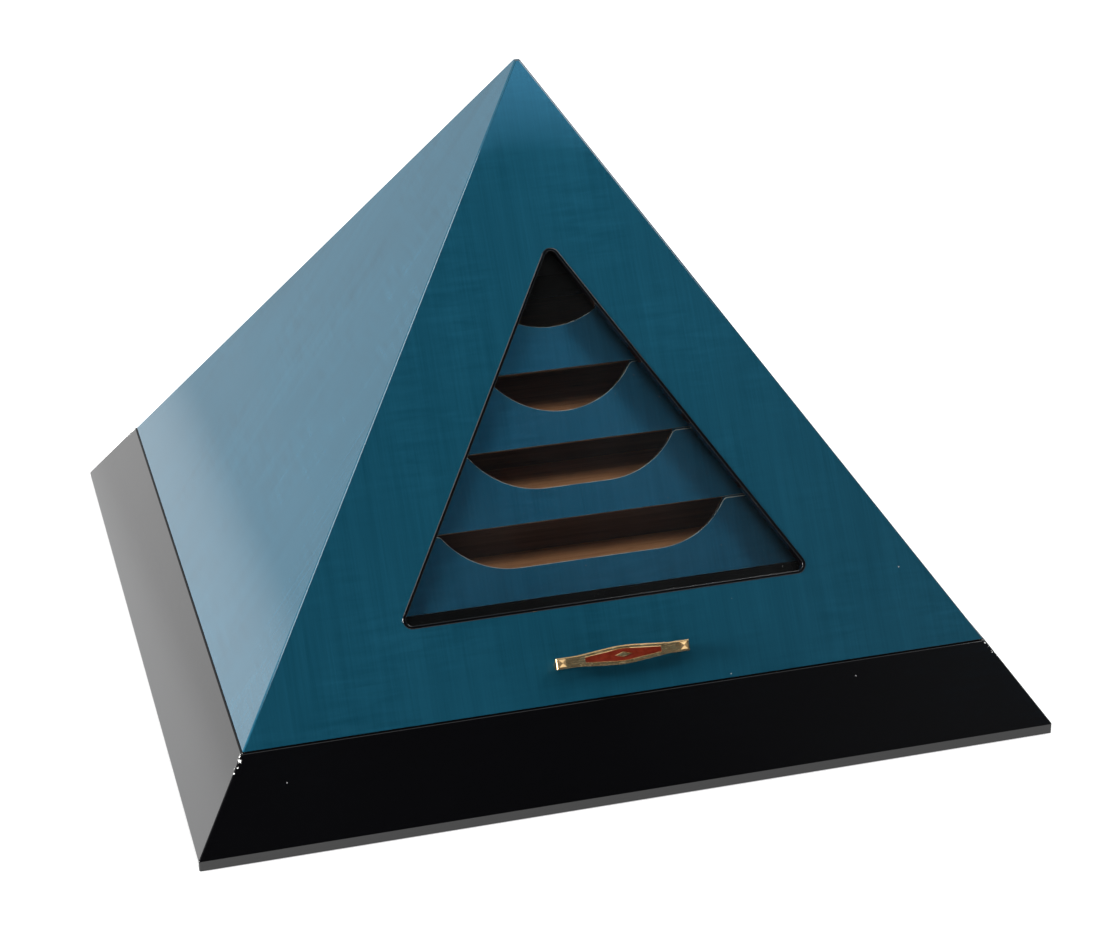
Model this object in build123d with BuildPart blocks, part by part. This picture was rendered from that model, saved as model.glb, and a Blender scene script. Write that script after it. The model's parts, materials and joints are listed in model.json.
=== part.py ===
from build123d import *
import math
import os

# Pyramid cigar cabinet: a black base, a lidded pyramid shell hinged along its back edge, and four
# cedar drawers inside.  Millimetres, +Z up, the front faces -Y, the origin is at the bottom centre.
# Every outer face is an equilateral triangle, so all walls, shelves and drawer fronts are cut by
# planes parallel to the outer faces.  "Depth" is how far such a plane lies inside the outer face.

os.makedirs("parts", exist_ok=True)

# Pyramid
APEX_Z = 323.7                   # where the four outer faces would meet
SLOPE = 1 / math.sqrt(2)         # half-width lost per millimetre of height
LEAN = math.degrees(math.atan(SLOPE))
NORMAL_OUT = math.sqrt(2 / 3)    # horizontal part of a face's unit normal
NORMAL_UP = math.sqrt(1 / 3)     # vertical part of it
ARRIS_RADIUS = 1.2
TIP_HALF = 1.6                   # half-width of the blunt tip
TIP_RADIUS = 0.5
EDGE_BREAK = 0.15                # bevel on the outer edges along the seam

# Base
BASE_HALF = 225.0
FELT_THICK = 0.8
FELT_INSET = 4.0
LIP_TOP = 6.2                    # top of the upright edge round the base
LIP_RADIUS = 1.0
RAIL_TOP = 45.8
RAIL_INNER_HALF = 172.0
BOTTOM_BOARD_THICK = 9.0
DECK_THICK = 8.0
GASKET_OUTER_HALF = 182.3
GASKET_WIDTH = 3.5
GASKET_THICK = 1.1
GASKET_GROOVE = 0.8

# Lid
SEAM_Z = 46.0
LID_BOTTOM = 46.4
SHELL_THICK = 15.0
INNER_TIP_HALF = 0.6
WINDOW_APOTHEM = 63.97           # centre of the window to each edge of the opening
WINDOW_CENTRE = 112.4            # up the slope from the seam
WINDOW_CORNER = 5.0
LINER_WIDTH = 1.7
LINER_PROUD = 0.3
LINER_ROUND = 0.35
REVEAL = 5.0                     # face of the lid to the glass
GLASS_THICK = 3.0
REBATE_WIDTH = 5.0
GLASS_GAP = 0.4
BEAD_GAP = 0.05
BEAD_THICK = 2.5
BEAD_SETBACK = 0.8
BRAD_RADIUS = 0.5
BRAD_LENGTH = 8.0
BRAD_SPACING = 55.0

# Handle, on the front of the lid
HANDLE_RISE = 19.7               # its centre, up the slope from the seam
POST_SPACING = 64.0
BAR_LENGTH = 70.0
BAR_BACK = 7.3                   # face of the lid to the back of the bar
BAR_THICK = 3.2
BAR_END_HALF = 2.8
BAR_MIDDLE_HALF = 5.1
SWELL_HALF = 24.0                # the bar swells over this much each side of its middle
BAR_CREST_RADIUS = 80.0
BAR_BEVEL = 0.6
LOWER_BEVEL_STEEPNESS = 1.8        # how much further its lower bevels run down than in
ENAMEL_HALF_LENGTH = 20.0
ENAMEL_SWELL_HALF = 19.5
ENAMEL_CREST_RADIUS = 40.0
ENAMEL_END_HALF = 1.3
ENAMEL_MIDDLE_HALF = 3.1
ENAMEL_DEPTH = 0.7
ENAMEL_FILL = 0.4
MOUTH_BEVEL = 0.28                  # along the two long edges of the enamel's recess
LOZENGE_LENGTH = 9.0
LOZENGE_HEIGHT = 2.8
LOZENGE_RISE = 0.4
LOZENGE_BEVEL = 0.25
STUD_SIZE = 4.4
STUD_STEP = 0.3                  # ledge round the foot of each pyramid stud
STUD_BASE = 0.2
STUD_RISE = 0.85
STUD_TAPER = 64
POST_RADIUS = 2.3
HANDLE_SCREW_RADIUS = 1.4
HANDLE_SCREW_BITE = 5.0
HANDLE_SCREW_SPARE = 0.3         # empty thread past the screw's tip
HANDLE_HEAD_RADIUS = 3.8
HANDLE_HEAD_THICK = 2.4
HANDLE_HEAD_SUNK = 3.0
HANDLE_HEAD_GAP = 0.4
CROSS_LENGTH = 5.0               # cross recess in the screw head
CROSS_WIDTH = 0.9
CROSS_DEPTH = 1.2

# Hinges, along the back edge of the seam
HINGE_X = 110.0
HINGE_AXIS_Y = 200.6
HINGE_AXIS_Z = 46.1
BARREL_RADIUS = 3.0
BARREL_RELIEF = 3.5
PIN_RADIUS = 1.25
PIN_CLEARANCE = 0.04
LEAF_LENGTH = 50.0
LEAF_THICK = 1.5
LEAF_FRONT_Y = 183.3
LEAF_TRIM_Y = 197.1
KNUCKLE_LENGTH = 17.4            # the lid's knuckle, between the base's two
KNUCKLE_GAP = 0.3
HINGE_SCREW_Y = 188.5
HINGE_SCREW_SPACING = 17.0
HINGE_SCREW_RADIUS = 1.2
HINGE_SCREW_HEAD = 2.6
HINGE_SCREW_LENGTH = 6.2
HINGE_SCREW_POINT = 1.0
HINGE_SLOT_WIDTH = 0.6
HINGE_SLOT_DEPTH = 0.5
SCREW_FIT = 0.05

# Inner cabinet and drawers
CABINET_OUT = 18.5               # depth of the cabinet's outer side faces
CABINET_IN = 24.5
FRONT_DEPTH = 23.5               # depth of the drawer fronts
FRONT_THICK = 6.0
RAIL_THICK = 10.0
SHELF_THICK = 4.0
SHELF_SETBACK = 0.5
DRAWER_Z = 78.9                  # bottom of the lowest drawer front
PITCH = 32.18
DRAWER_COUNT = 4
CABINET_TOP_Z = DRAWER_Z + DRAWER_COUNT * PITCH
FRONT_GAP = 0.3
FLOOR_GAP = 0.4
SIDE_GAP = 0.6
TOP_GAP = 1.0
BACK_GAP = 1.5
DRAWER_WALL = 5.0
DRAWER_FLOOR = 4.0
DRAWER_OUT = CABINET_IN + SIDE_GAP * NORMAL_OUT    # depths of the drawer sides' faces
DRAWER_IN = DRAWER_OUT + DRAWER_WALL
FRONT_BACK = FRONT_DEPTH + FRONT_THICK
SCOOP_RADIUS = 46.0
SCOOP_DEPTHS = (21.8, 21.8, 21.8, 16.0)
SCOOP_FLATS = (38.0, 17.0, 0.0, 0.0)     # half the straight part of each scoop
SCOOP_CORNER = 3.0
FRONT_BEVEL = 0.3
DIVIDER_FRONTS = (-99.0, -63.0)  # Y of the dividers in the two lowest drawers
DIVIDER_THICK = 4.0
DIVIDER_HEIGHT = 18.0

# Humidifier, on top of the cabinet
HUMIDIFIER_SIZE = 60.0
HUMIDIFIER_HEIGHT = 18.0
HUMIDIFIER_WALL = 2.0
HUMIDIFIER_CORNER = 3.0
HUMIDIFIER_INNER_CORNER = 1.0
HUMIDIFIER_Y = 6.0
FOAM_GAP = 0.3
FOAM_HEIGHT = 13.0
GRILLE_THICK = 2.0
GRILLE_SLOTS = 6
GRILLE_SLOT_WIDTH = 3.0
GRILLE_SLOT_LENGTH = 44.0
GRILLE_PITCH = 8.0

RUN = 2 * BASE_HALF              # longer than any stretch that a plane then cuts to length
NEAR = 0.1                       # how close an edge lies to the height it is picked by

FACE_NORMAL = Vector(0, -NORMAL_OUT, NORMAL_UP)
MITRE_A = Plane(origin=(0, 0, 0), z_dir=(1, 1, 0))
MITRE_B = Plane(origin=(0, 0, 0), z_dir=(-1, 1, 0))


def half_width(z, depth=0.0):
    """Half-width at height z between opposite planes that lie depth inside the outer faces."""
    return (APEX_Z - z) * SLOPE - depth / NORMAL_OUT


def front_plane(depth):
    """Plane parallel to the front face; X is across, Y is up the slope from the seam."""
    origin = Vector(0, -half_width(SEAM_Z), SEAM_Z) - FACE_NORMAL * depth
    return Plane(origin=origin, x_dir=(1, 0, 0), z_dir=FACE_NORMAL)


def back_plane(depth):
    """Plane parallel to the back face, looking outwards."""
    return Plane(
        origin=(0, half_width(0, depth), 0), x_dir=(-1, 0, 0), z_dir=(0, NORMAL_OUT, NORMAL_UP)
    )


def side_plane(depth, side):
    """Plane parallel to the left (side = -1) or right (side = 1) face, looking outwards."""
    return Plane(
        origin=(side * half_width(0, depth), 0, 0),
        x_dir=(0, side, 0),
        z_dir=(side * NORMAL_OUT, 0, NORMAL_UP),
    )


def upright_edges(blank):
    """Edges that rise, as against those that lie level."""
    return blank.edges().filter_by(lambda edge: abs(edge.tangent_at(0.5).Z) > NEAR)


def section(y_back, z_low, z_high, depth):
    """Upright trapezoid at y_back that reaches the planes depth inside both side faces."""
    low_half = half_width(z_low, depth)
    high_half = half_width(z_high, depth)
    with BuildSketch(Plane.XZ.offset(-y_back)) as outline:
        with BuildLine():
            Polyline(
                (-low_half, z_low), (low_half, z_low), (high_half, z_high), (-high_half, z_high),
                close=True,
            )
        make_face()
    return outline.sketch


def window_outline(depth, grow):
    """Rounded triangle of the window on the plane at depth, grown outwards by grow."""
    with BuildSketch(front_plane(depth)) as outline:
        with Locations((0, WINDOW_CENTRE)):
            RegularPolygon(WINDOW_APOTHEM + grow, 3, major_radius=False, rotation=90)
        fillet(outline.vertices(), WINDOW_CORNER + grow)
    return outline.sketch


def swelling_outline(plane, half_length, end_half, middle_half, swell_half, crest_radius):
    """Bar outline with straight ends that tapers out to a rounded crest in the middle."""
    with BuildSketch(plane) as outline:
        with BuildLine():
            for side in (1, -1):
                Polyline(
                    (-half_length, 0), (-half_length, side * end_half), (-swell_half, side * end_half),
                    (0, side * middle_half), (swell_half, side * end_half),
                    (half_length, side * end_half), (half_length, 0),
                )
        make_face()
        fillet(outline.vertices().filter_by(lambda point: abs(point.X) < NEAR), crest_radius)
    return outline.sketch


# ---------------------------------------------------------------- base

with BuildPart() as base_blank:
    with BuildSketch(Plane.XY.offset(FELT_THICK)):
        Rectangle(2 * BASE_HALF, 2 * BASE_HALF)
    extrude(amount=LIP_TOP - FELT_THICK)
    with BuildSketch(Plane.XY.offset(LIP_TOP)):
        Rectangle(2 * BASE_HALF, 2 * BASE_HALF)
    extrude(amount=RAIL_TOP - LIP_TOP, taper=LEAN)
    base_arrises = upright_edges(base_blank)
    base_lip = base_blank.edges().filter_by_position(Axis.Z, LIP_TOP - NEAR, LIP_TOP + NEAR)
    fillet(base_arrises + base_lip, LIP_RADIUS)
    chamfer(base_blank.faces().sort_by(Axis.Z)[-1].edges(), EDGE_BREAK)
    with BuildSketch(Plane.XY):
        Rectangle(2 * RAIL_INNER_HALF, 2 * RAIL_INNER_HALF)
    extrude(amount=RAIL_TOP, mode=Mode.SUBTRACT)
    with BuildSketch(Plane.XY.offset(RAIL_TOP)):
        Rectangle(2 * GASKET_OUTER_HALF, 2 * GASKET_OUTER_HALF)
        gasket_inner = 2 * (GASKET_OUTER_HALF - GASKET_WIDTH)
        Rectangle(gasket_inner, gasket_inner, mode=Mode.SUBTRACT)
    extrude(amount=-GASKET_GROOVE, mode=Mode.SUBTRACT)

with BuildPart() as base_rail_front:
    add(base_blank.part)
    split(bisect_by=MITRE_A, keep=Keep.BOTTOM)
    split(bisect_by=MITRE_B, keep=Keep.BOTTOM)
base_rail_front.part.label = "base_rail_front"
export_step(base_rail_front.part, "parts/base_rail_front.step")

with BuildPart() as base_rail_left:
    add(base_blank.part)
    split(bisect_by=MITRE_A, keep=Keep.BOTTOM)
    split(bisect_by=MITRE_B, keep=Keep.TOP)
base_rail_left.part.label = "base_rail_left"
export_step(base_rail_left.part, "parts/base_rail_left.step")

with BuildPart() as base_rail_right:
    add(base_blank.part)
    split(bisect_by=MITRE_A, keep=Keep.TOP)
    split(bisect_by=MITRE_B, keep=Keep.BOTTOM)
base_rail_right.part.label = "base_rail_right"
export_step(base_rail_right.part, "parts/base_rail_right.step")

with BuildPart() as base_rail_back:
    add(base_blank.part)
    split(bisect_by=MITRE_A, keep=Keep.TOP)
    split(bisect_by=MITRE_B, keep=Keep.TOP)
    leaf_middle_y = (LEAF_FRONT_Y + HINGE_AXIS_Y) / 2
    with BuildSketch(Plane.XY.offset(RAIL_TOP)):
        with Locations((-HINGE_X, leaf_middle_y), (HINGE_X, leaf_middle_y)):
            Rectangle(LEAF_LENGTH, HINGE_AXIS_Y - LEAF_FRONT_Y)
    extrude(amount=-LEAF_THICK, mode=Mode.SUBTRACT)
    with Locations((-HINGE_X, HINGE_AXIS_Y, HINGE_AXIS_Z), (HINGE_X, HINGE_AXIS_Y, HINGE_AXIS_Z)):
        Cylinder(BARREL_RELIEF, LEAF_LENGTH, rotation=(0, 90, 0), mode=Mode.SUBTRACT)
    with Locations((-HINGE_X, HINGE_SCREW_Y, RAIL_TOP), (HINGE_X, HINGE_SCREW_Y, RAIL_TOP)):
        with GridLocations(HINGE_SCREW_SPACING, 1, 3, 1):
            Hole(HINGE_SCREW_RADIUS + SCREW_FIT, depth=HINGE_SCREW_LENGTH)
base_rail_back.part.label = "base_rail_back"
export_step(base_rail_back.part, "parts/base_rail_back.step")

with BuildPart() as base_felt:
    with BuildSketch(Plane.XY):
        RectangleRounded(2 * (BASE_HALF - FELT_INSET), 2 * (BASE_HALF - FELT_INSET), FELT_INSET)
    extrude(amount=FELT_THICK)
base_felt.part.label = "base_felt"
export_step(base_felt.part, "parts/base_felt.step")

with BuildPart() as bottom_board:
    with BuildSketch(Plane.XY.offset(FELT_THICK)):
        Rectangle(2 * RAIL_INNER_HALF, 2 * RAIL_INNER_HALF)
    extrude(amount=BOTTOM_BOARD_THICK)
bottom_board.part.label = "bottom_board"
export_step(bottom_board.part, "parts/bottom_board.step")

with BuildPart() as deck_board:
    with BuildSketch(Plane.XY.offset(RAIL_TOP - DECK_THICK)):
        Rectangle(2 * RAIL_INNER_HALF, 2 * RAIL_INNER_HALF)
    extrude(amount=DECK_THICK)
deck_board.part.label = "deck_board"
export_step(deck_board.part, "parts/deck_board.step")

with BuildPart() as rim_gasket:
    with BuildSketch(Plane.XY.offset(RAIL_TOP - GASKET_GROOVE)):
        Rectangle(2 * GASKET_OUTER_HALF, 2 * GASKET_OUTER_HALF)
        Rectangle(gasket_inner, gasket_inner, mode=Mode.SUBTRACT)
    extrude(amount=GASKET_THICK)
rim_gasket.part.label = "rim_gasket"
export_step(rim_gasket.part, "parts/rim_gasket.step")

# ---------------------------------------------------------------- hinges

with BuildPart() as hinge_screw:
    with BuildSketch(Plane.XZ):
        with BuildLine():
            head_depth = HINGE_SCREW_HEAD - HINGE_SCREW_RADIUS
            Polyline(
                (0, 0), (HINGE_SCREW_HEAD, 0), (HINGE_SCREW_RADIUS, -head_depth),
                (HINGE_SCREW_RADIUS, HINGE_SCREW_POINT - HINGE_SCREW_LENGTH), (0, -HINGE_SCREW_LENGTH),
                close=True,
            )
        make_face()
    revolve(axis=Axis.Z)
    with BuildSketch(Plane.XY):
        Rectangle(2 * HINGE_SCREW_HEAD, HINGE_SLOT_WIDTH)
    extrude(amount=-HINGE_SLOT_DEPTH, mode=Mode.SUBTRACT)

knuckle_half = KNUCKLE_LENGTH / 2
outer_knuckle = LEAF_LENGTH / 2 - knuckle_half - KNUCKLE_GAP
outer_knuckle_x = LEAF_LENGTH / 2 - outer_knuckle / 2
leaf_plate_y = (LEAF_FRONT_Y + LEAF_TRIM_Y) / 2
neck_y = (LEAF_TRIM_Y + HINGE_AXIS_Y) / 2

with BuildPart() as base_hinge_leaves:
    for hinge_x in (-HINGE_X, HINGE_X):
        with Locations((hinge_x, leaf_plate_y, RAIL_TOP - LEAF_THICK / 2)):
            Box(LEAF_LENGTH, LEAF_TRIM_Y - LEAF_FRONT_Y, LEAF_THICK)
        for knuckle_x in (hinge_x - outer_knuckle_x, hinge_x + outer_knuckle_x):
            with Locations((knuckle_x, neck_y, RAIL_TOP - LEAF_THICK / 2)):
                Box(outer_knuckle, HINGE_AXIS_Y - LEAF_TRIM_Y, LEAF_THICK)
            with Locations((knuckle_x, HINGE_AXIS_Y, HINGE_AXIS_Z)):
                Cylinder(BARREL_RADIUS, outer_knuckle, rotation=(0, 90, 0))
        with Locations((hinge_x, HINGE_AXIS_Y, HINGE_AXIS_Z)):
            Cylinder(
                PIN_RADIUS + PIN_CLEARANCE, 2 * LEAF_LENGTH, rotation=(0, 90, 0), mode=Mode.SUBTRACT
            )
        with Locations((hinge_x, HINGE_SCREW_Y, RAIL_TOP)):
            with GridLocations(HINGE_SCREW_SPACING, 1, 3, 1):
                CounterSinkHole(
                    HINGE_SCREW_RADIUS + SCREW_FIT, HINGE_SCREW_HEAD + SCREW_FIT, depth=LEAF_THICK,
                    counter_sink_angle=90,
                )
base_hinge_leaves.part.label = "base_hinge_leaves"
export_step(base_hinge_leaves.part, "parts/base_hinge_leaves.step")

with BuildPart() as base_hinge_screws:
    with Locations((-HINGE_X, HINGE_SCREW_Y, RAIL_TOP), (HINGE_X, HINGE_SCREW_Y, RAIL_TOP)):
        with GridLocations(HINGE_SCREW_SPACING, 1, 3, 1):
            add(hinge_screw.part)
base_hinge_screws.part.label = "base_hinge_screws"
export_step(base_hinge_screws.part, "parts/base_hinge_screws.step")

with BuildPart() as hinge_pins:
    with Locations((-HINGE_X, HINGE_AXIS_Y, HINGE_AXIS_Z), (HINGE_X, HINGE_AXIS_Y, HINGE_AXIS_Z)):
        Cylinder(PIN_RADIUS, LEAF_LENGTH, rotation=(0, 90, 0))
hinge_pins.part.label = "hinge_pins"
export_step(hinge_pins.part, "parts/hinge_pins.step")

with BuildPart() as lid_hinge_leaves:
    for hinge_x in (-HINGE_X, HINGE_X):
        with Locations((hinge_x, leaf_plate_y, LID_BOTTOM + LEAF_THICK / 2)):
            Box(LEAF_LENGTH, LEAF_TRIM_Y - LEAF_FRONT_Y, LEAF_THICK)
        with Locations((hinge_x, neck_y, LID_BOTTOM + LEAF_THICK / 2)):
            Box(KNUCKLE_LENGTH, HINGE_AXIS_Y - LEAF_TRIM_Y, LEAF_THICK)
        with Locations((hinge_x, HINGE_AXIS_Y, HINGE_AXIS_Z)):
            Cylinder(BARREL_RADIUS, KNUCKLE_LENGTH, rotation=(0, 90, 0))
            Cylinder(
                PIN_RADIUS + PIN_CLEARANCE, 2 * LEAF_LENGTH, rotation=(0, 90, 0), mode=Mode.SUBTRACT
            )
        with Locations(Location((hinge_x, HINGE_SCREW_Y, LID_BOTTOM), (180, 0, 0))):
            with GridLocations(HINGE_SCREW_SPACING, 1, 3, 1):
                CounterSinkHole(
                    HINGE_SCREW_RADIUS + SCREW_FIT, HINGE_SCREW_HEAD + SCREW_FIT, depth=LEAF_THICK,
                    counter_sink_angle=90,
                )
lid_hinge_leaves.part.label = "lid_hinge_leaves"
export_step(lid_hinge_leaves.part, "parts/lid_hinge_leaves.step")

with BuildPart() as lid_hinge_screws:
    for hinge_x in (-HINGE_X, HINGE_X):
        with Locations(Location((hinge_x, HINGE_SCREW_Y, LID_BOTTOM), (180, 0, 0))):
            with GridLocations(HINGE_SCREW_SPACING, 1, 3, 1):
                add(hinge_screw.part)
lid_hinge_screws.part.label = "lid_hinge_screws"
export_step(lid_hinge_screws.part, "parts/lid_hinge_screws.step")

# ---------------------------------------------------------------- lid shell

with BuildPart() as shell_blank:
    with BuildSketch(Plane.XY.offset(LID_BOTTOM)):
        Rectangle(2 * half_width(LID_BOTTOM), 2 * half_width(LID_BOTTOM))
    extrude(amount=(half_width(LID_BOTTOM) - TIP_HALF) / SLOPE, taper=LEAN)
    fillet(upright_edges(shell_blank), ARRIS_RADIUS)
    fillet(shell_blank.faces().sort_by(Axis.Z)[-1].edges(), TIP_RADIUS)
    chamfer(shell_blank.faces().sort_by(Axis.Z)[0].edges(), EDGE_BREAK)
    with BuildSketch(Plane.XY.offset(LID_BOTTOM)):
        inner_half = half_width(LID_BOTTOM, SHELL_THICK)
        Rectangle(2 * inner_half, 2 * inner_half)
    extrude(amount=(inner_half - INNER_TIP_HALF) / SLOPE, taper=LEAN, mode=Mode.SUBTRACT)

with BuildPart() as shell_front_panel:
    add(shell_blank.part)
    split(bisect_by=MITRE_A, keep=Keep.BOTTOM)
    split(bisect_by=MITRE_B, keep=Keep.BOTTOM)
    extrude(window_outline(0, 0), amount=-SHELL_THICK, mode=Mode.SUBTRACT)
    extrude(window_outline(REVEAL, REBATE_WIDTH), amount=-SHELL_THICK, mode=Mode.SUBTRACT)
    with Locations(-front_plane(SHELL_THICK)):
        with Locations((-POST_SPACING / 2, -HANDLE_RISE), (POST_SPACING / 2, -HANDLE_RISE)):
            CounterBoreHole(
                HANDLE_SCREW_RADIUS + SCREW_FIT, HANDLE_HEAD_RADIUS + HANDLE_HEAD_GAP, HANDLE_HEAD_SUNK,
                depth=SHELL_THICK,
            )
    with Locations(front_plane(REVEAL + GLASS_THICK + BEAD_THICK / 2)):
        with Locations((0, WINDOW_CENTRE)):
            with PolarLocations(WINDOW_APOTHEM + BEAD_SETBACK + BRAD_LENGTH / 2, 3, start_angle=-90):
                with GridLocations(1, BRAD_SPACING, 1, 3):
                    Cylinder(
                        BRAD_RADIUS + SCREW_FIT, BRAD_LENGTH + SCREW_FIT, rotation=(0, 90, 0),
                        mode=Mode.SUBTRACT,
                    )
shell_front_panel.part.label = "shell_front_panel"
export_step(shell_front_panel.part, "parts/shell_front_panel.step")

with BuildPart() as shell_left_panel:
    add(shell_blank.part)
    split(bisect_by=MITRE_A, keep=Keep.BOTTOM)
    split(bisect_by=MITRE_B, keep=Keep.TOP)
shell_left_panel.part.label = "shell_left_panel"
export_step(shell_left_panel.part, "parts/shell_left_panel.step")

with BuildPart() as shell_right_panel:
    add(shell_blank.part)
    split(bisect_by=MITRE_A, keep=Keep.TOP)
    split(bisect_by=MITRE_B, keep=Keep.BOTTOM)
shell_right_panel.part.label = "shell_right_panel"
export_step(shell_right_panel.part, "parts/shell_right_panel.step")

with BuildPart() as shell_back_panel:
    add(shell_blank.part)
    split(bisect_by=MITRE_A, keep=Keep.TOP)
    split(bisect_by=MITRE_B, keep=Keep.TOP)
    with BuildSketch(Plane.XY.offset(LID_BOTTOM)):
        with Locations((-HINGE_X, leaf_middle_y), (HINGE_X, leaf_middle_y)):
            Rectangle(LEAF_LENGTH, HINGE_AXIS_Y - LEAF_FRONT_Y)
    extrude(amount=LEAF_THICK, mode=Mode.SUBTRACT)
    with Locations((-HINGE_X, HINGE_AXIS_Y, HINGE_AXIS_Z), (HINGE_X, HINGE_AXIS_Y, HINGE_AXIS_Z)):
        Cylinder(BARREL_RELIEF, LEAF_LENGTH, rotation=(0, 90, 0), mode=Mode.SUBTRACT)
    for hinge_x in (-HINGE_X, HINGE_X):
        with Locations(Location((hinge_x, HINGE_SCREW_Y, LID_BOTTOM), (180, 0, 0))):
            with GridLocations(HINGE_SCREW_SPACING, 1, 3, 1):
                Hole(HINGE_SCREW_RADIUS + SCREW_FIT, depth=HINGE_SCREW_LENGTH)
shell_back_panel.part.label = "shell_back_panel"
export_step(shell_back_panel.part, "parts/shell_back_panel.step")

# ---------------------------------------------------------------- window

with BuildPart() as window_liner:
    extrude(window_outline(-LINER_PROUD, 0), amount=-(REVEAL + LINER_PROUD))
    rim = window_liner.faces().filter_by(GeomType.PLANE).sort_by(Axis((0, 0, 0), FACE_NORMAL))[-1]
    fillet(rim.edges(), LINER_ROUND)
    extrude(window_outline(-LINER_PROUD, -LINER_WIDTH), amount=-SHELL_THICK, mode=Mode.SUBTRACT)
    rim = window_liner.faces().filter_by(GeomType.PLANE).sort_by(Axis((0, 0, 0), FACE_NORMAL))[-1]
    fillet(rim.inner_wires()[0].edges(), LINER_ROUND)
window_liner.part.label = "window_liner"
export_step(window_liner.part, "parts/window_liner.step")

with BuildPart() as window_glass:
    extrude(window_outline(REVEAL, REBATE_WIDTH - GLASS_GAP), amount=-GLASS_THICK)
window_glass.part.label = "window_glass"
export_step(window_glass.part, "parts/window_glass.step")

with BuildPart() as glazing_bead:
    bead_depth = REVEAL + GLASS_THICK
    extrude(window_outline(bead_depth, REBATE_WIDTH - BEAD_GAP), amount=-BEAD_THICK)
    extrude(window_outline(bead_depth, BEAD_SETBACK), amount=-BEAD_THICK, mode=Mode.SUBTRACT)
    with Locations(front_plane(bead_depth + BEAD_THICK / 2)):
        with Locations((0, WINDOW_CENTRE)):
            with PolarLocations(WINDOW_APOTHEM + BEAD_SETBACK + BRAD_LENGTH / 2, 3, start_angle=-90):
                with GridLocations(1, BRAD_SPACING, 1, 3):
                    Cylinder(
                        BRAD_RADIUS + SCREW_FIT, BRAD_LENGTH + SCREW_FIT, rotation=(0, 90, 0),
                        mode=Mode.SUBTRACT,
                    )
glazing_bead.part.label = "glazing_bead"
export_step(glazing_bead.part, "parts/glazing_bead.step")

with BuildPart() as glazing_brads:
    with Locations(front_plane(bead_depth + BEAD_THICK / 2)):
        with Locations((0, WINDOW_CENTRE)):
            with PolarLocations(WINDOW_APOTHEM + BEAD_SETBACK + BRAD_LENGTH / 2, 3, start_angle=-90):
                with GridLocations(1, BRAD_SPACING, 1, 3):
                    Cylinder(BRAD_RADIUS, BRAD_LENGTH, rotation=(0, 90, 0))
glazing_brads.part.label = "glazing_brads"
export_step(glazing_brads.part, "parts/glazing_brads.step")

# ---------------------------------------------------------------- handle

handle_seat = front_plane(0).shift_origin(front_plane(0).from_local_coords((0, HANDLE_RISE, 0)))
bar_back = handle_seat.offset(BAR_BACK)
bar_face = handle_seat.offset(BAR_BACK + BAR_THICK)


def front_of(piece):
    """The foremost face of a piece of the pull."""
    return piece.faces().sort_by(Axis((0, 0, 0), FACE_NORMAL))[-1]


def height_on_bar(edge):
    """How far up the slope an edge's middle is from the middle of the bar."""
    return bar_face.to_local_coords(edge.center()).Y


def bevel_front(piece, bevel):
    """Bevels the front edges: at 45 degrees along the top, steeper and narrower elsewhere."""
    upper = [edge for edge in front_of(piece).edges() if height_on_bar(edge) > NEAR]
    chamfer(upper, bevel)
    front = front_of(piece)
    others = [edge for edge in front.edges() if height_on_bar(edge) < NEAR]
    chamfer(others, bevel / LOWER_BEVEL_STEEPNESS, bevel, reference=front)



with BuildSketch(bar_face) as lozenge:
    with BuildLine():
        Polyline(
            (-LOZENGE_LENGTH / 2, 0), (0, LOZENGE_HEIGHT / 2),
            (LOZENGE_LENGTH / 2, 0), (0, -LOZENGE_HEIGHT / 2),
            close=True,
        )
    make_face()

with BuildPart() as raised_lozenge:
    extrude(lozenge.sketch, amount=-ENAMEL_DEPTH)
    extrude(lozenge.sketch, amount=LOZENGE_RISE)
    bevel_front(raised_lozenge, LOZENGE_BEVEL)

with BuildPart() as handle_bar:
    bar_outline = swelling_outline(
        bar_back, BAR_LENGTH / 2, BAR_END_HALF, BAR_MIDDLE_HALF, SWELL_HALF, BAR_CREST_RADIUS
    )
    extrude(bar_outline, amount=BAR_THICK)
    bevel_front(handle_bar, BAR_BEVEL)
    enamel_outline = swelling_outline(
        bar_face, ENAMEL_HALF_LENGTH, ENAMEL_END_HALF, ENAMEL_MIDDLE_HALF, ENAMEL_SWELL_HALF,
        ENAMEL_CREST_RADIUS,
    )
    extrude(enamel_outline, amount=-ENAMEL_DEPTH, mode=Mode.SUBTRACT)
    mouth = front_of(handle_bar).inner_wires()[0].edges()
    chamfer([edge for edge in mouth if abs(height_on_bar(edge)) > NEAR], MOUTH_BEVEL)
    add(raised_lozenge.part)
    with BuildSketch(bar_face.offset(-BAR_BEVEL)):
        with Locations((-POST_SPACING / 2, 0), (POST_SPACING / 2, 0)):
            Rectangle(STUD_SIZE, STUD_SIZE)
    extrude(amount=BAR_BEVEL + STUD_BASE)
    with BuildSketch(bar_face.offset(STUD_BASE)):
        with Locations((-POST_SPACING / 2, 0), (POST_SPACING / 2, 0)):
            Rectangle(STUD_SIZE - 2 * STUD_STEP, STUD_SIZE - 2 * STUD_STEP)
    extrude(amount=STUD_RISE, taper=STUD_TAPER)
handle_bar.part.label = "handle_bar"
export_step(handle_bar.part, "parts/handle_bar.step")

with BuildPart() as handle_enamel:
    enamel_floor = swelling_outline(
        bar_face.offset(-ENAMEL_DEPTH), ENAMEL_HALF_LENGTH, ENAMEL_END_HALF, ENAMEL_MIDDLE_HALF,
        ENAMEL_SWELL_HALF, ENAMEL_CREST_RADIUS,
    )
    extrude(enamel_floor, amount=ENAMEL_FILL)
    extrude(lozenge.sketch, amount=-ENAMEL_DEPTH, mode=Mode.SUBTRACT)
handle_enamel.part.label = "handle_enamel"
export_step(handle_enamel.part, "parts/handle_enamel.step")

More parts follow.
